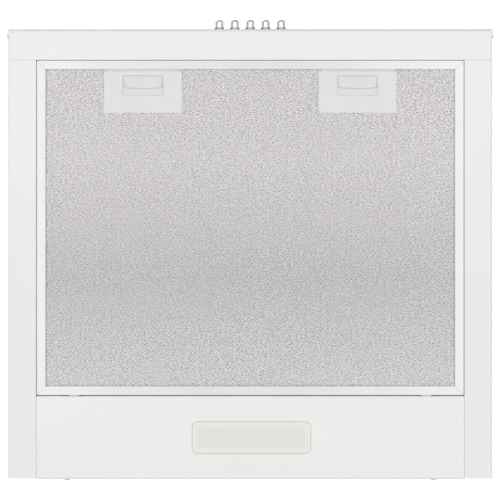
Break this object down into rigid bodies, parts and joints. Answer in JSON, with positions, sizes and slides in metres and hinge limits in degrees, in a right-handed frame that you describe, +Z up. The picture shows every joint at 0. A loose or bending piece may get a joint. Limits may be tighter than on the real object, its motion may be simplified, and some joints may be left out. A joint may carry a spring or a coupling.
{
  "type": "under cabinet range hood",
  "caption": "Slim white under cabinet range hood with push buttons, a swing-down framed grease filter, a lamp, a blower and a top duct collar.",
  "frame": {"origin": "centre of the top mounting face, on the duct collar's axis and in the middle of the four cabinet screw holes", "axes": "+X to the right for a person in front of the hood, +Y to the wall, +Z up, square to the top mounting face"},
  "size_m": [0.5, 0.476, 0.1664],
  "materials": {
    "white_paint": "smooth satin powder coat, warm white",
    "filter_frame_paint": "smooth satin white on aluminium",
    "filter_aluminium": "bright expanded aluminium mesh",
    "latch_plastic": "fine matte, light grey",
    "latch_slide_plastic": "fine matte, light grey",
    "spring_steel": "bright drawn wire",
    "button_chrome": "satin chromed plastic",
    "collar_grey": "dark grey, semi-gloss",
    "switch_black": "black moulded",
    "terminal_brass": "plain",
    "lens_plastic": "frosted opal",
    "lamp_white": "white moulded",
    "board_white": "white solder mask",
    "led_yellow": "phosphor resin",
    "galvanised": "zinc coated sheet",
    "zinc_steel": "zinc plated",
    "mount_rubber": "black",
    "motor_steel": "drawn steel can",
    "wheel_plastic": "light grey moulded",
    "duct_plastic": "dark grey moulded",
    "flap_plastic": "grey moulded",
    "box_plastic": "grey moulded",
    "terminal_plastic": "ivory",
    "gland_plastic": "black",
    "capacitor_shell": "white shell",
    "wire_sleeve": "grey sleeve"
  },
  "bodies": {
    "hood": {"body_shell": "white_paint", "rear_wall": "white_paint", "side_panel_left": "white_paint", "side_panel_right": "white_paint", "front_fascia": "white_paint", "lamp_panel": "white_paint", "rear_screws": "zinc_steel", "button_collars": "collar_grey", "switch_housing": "switch_black", "switch_terminals": "terminal_brass", "lamp_lens": "lens_plastic", "lamp_tray": "lamp_white", "weld_studs": "zinc_steel", "lamp_board": "board_white", "lamp_leds": "led_yellow", "lamp_driver": "lamp_white", "blower_casing": "galvanised", "blower_cover": "galvanised", "blower_mounts": "mount_rubber", "blower_screws": "zinc_steel", "motor": "motor_steel", "motor_plate": "galvanised", "inlet_grille": "wheel_plastic", "duct_collar": "duct_plastic", "collar_flange": "duct_plastic", "collar_gasket": "mount_rubber", "terminal_box": "box_plastic", "terminal_box_lid": "box_plastic", "terminal_block": "terminal_plastic", "cable_gland": "gland_plastic", "motor_capacitor": "capacitor_shell", "capacitor_clip": "galvanised", "switch_harness": "wire_sleeve", "motor_harness": "wire_sleeve", "lamp_harness": "wire_sleeve"},
    "impeller": {"impeller": "wheel_plastic", "fan_nut": "terminal_brass", "motor_shaft": "zinc_steel"},
    "filter": {"filter_frame_front": "filter_frame_paint", "filter_frame_rear": "filter_frame_paint", "filter_frame_left": "filter_frame_paint", "filter_frame_right": "filter_frame_paint", "filter_mesh_lower": "filter_aluminium", "filter_mesh_core": "filter_aluminium", "filter_mesh_upper": "filter_aluminium", "filter_rear_tabs": "zinc_steel", "latch_bezel_left": "latch_plastic", "latch_bezel_right": "latch_plastic", "latch_backplates": "latch_plastic", "latch_spring_left": "spring_steel", "latch_spring_right": "spring_steel"},
    "latch_left": {"latch_slider_left": "latch_slide_plastic"},
    "latch_right": {"latch_slider_right": "latch_slide_plastic"},
    "flap_rear": {"flap_rear": "flap_plastic"},
    "flap_front": {"flap_front": "flap_plastic"},
    "button_off": {"button_off": "button_chrome"},
    "button_speed_1": {"button_speed_1": "button_chrome"},
    "button_speed_2": {"button_speed_2": "button_chrome"},
    "button_speed_3": {"button_speed_3": "button_chrome"},
    "button_light": {"button_light": "button_chrome"}
  },
  "joints": [
    {"name": "impeller_spin", "type": "hinge", "parent": "hood", "child": "impeller", "pos_m": [-0.12, -0.07, -0.06], "axis": [0, 0, 1], "continuous": true},
    {"name": "filter_swing", "type": "hinge", "parent": "hood", "child": "filter", "pos_m": [0, 0.0657, -0.1282], "axis": [1, 0, 0], "range_deg": [0, 60]},
    {"name": "latch_left_slide", "type": "slide", "parent": "filter", "child": "latch_left", "axis": [0, 1, 0], "range_m": [-0.004, 0.003], "stiffness_N_per_m": 300, "springref_m": -0.01, "deforming": ["latch_spring_left"]},
    {"name": "latch_right_slide", "type": "slide", "parent": "filter", "child": "latch_right", "axis": [0, 1, 0], "range_m": [-0.004, 0.003], "stiffness_N_per_m": 300, "springref_m": -0.01, "deforming": ["latch_spring_right"]},
    {"name": "flap_rear_hinge", "type": "hinge", "parent": "hood", "child": "flap_rear", "pos_m": [0, 0.0026, 0.012], "axis": [1, 0, 0], "range_deg": [0, 75]},
    {"name": "flap_front_hinge", "type": "hinge", "parent": "hood", "child": "flap_front", "pos_m": [0, -0.0026, 0.012], "axis": [-1, 0, 0], "range_deg": [0, 75]},
    {"name": "button_off_push", "type": "slide", "parent": "hood", "child": "button_off", "axis": [0, 1, 0], "range_m": [0, 0.003], "stiffness_N_per_m": 250, "springref_m": -0.004},
    {"name": "button_speed_1_push", "type": "slide", "parent": "hood", "child": "button_speed_1", "axis": [0, 1, 0], "range_m": [0, 0.003], "stiffness_N_per_m": 250, "springref_m": -0.004},
    {"name": "button_speed_2_push", "type": "slide", "parent": "hood", "child": "button_speed_2", "axis": [0, 1, 0], "range_m": [0, 0.003], "stiffness_N_per_m": 250, "springref_m": -0.004},
    {"name": "button_speed_3_push", "type": "slide", "parent": "hood", "child": "button_speed_3", "axis": [0, 1, 0], "range_m": [0, 0.003], "stiffness_N_per_m": 250, "springref_m": -0.004},
    {"name": "button_light_push", "type": "slide", "parent": "hood", "child": "button_light", "axis": [0, 1, 0], "range_m": [0, 0.003], "stiffness_N_per_m": 250, "springref_m": -0.004}
  ]
}
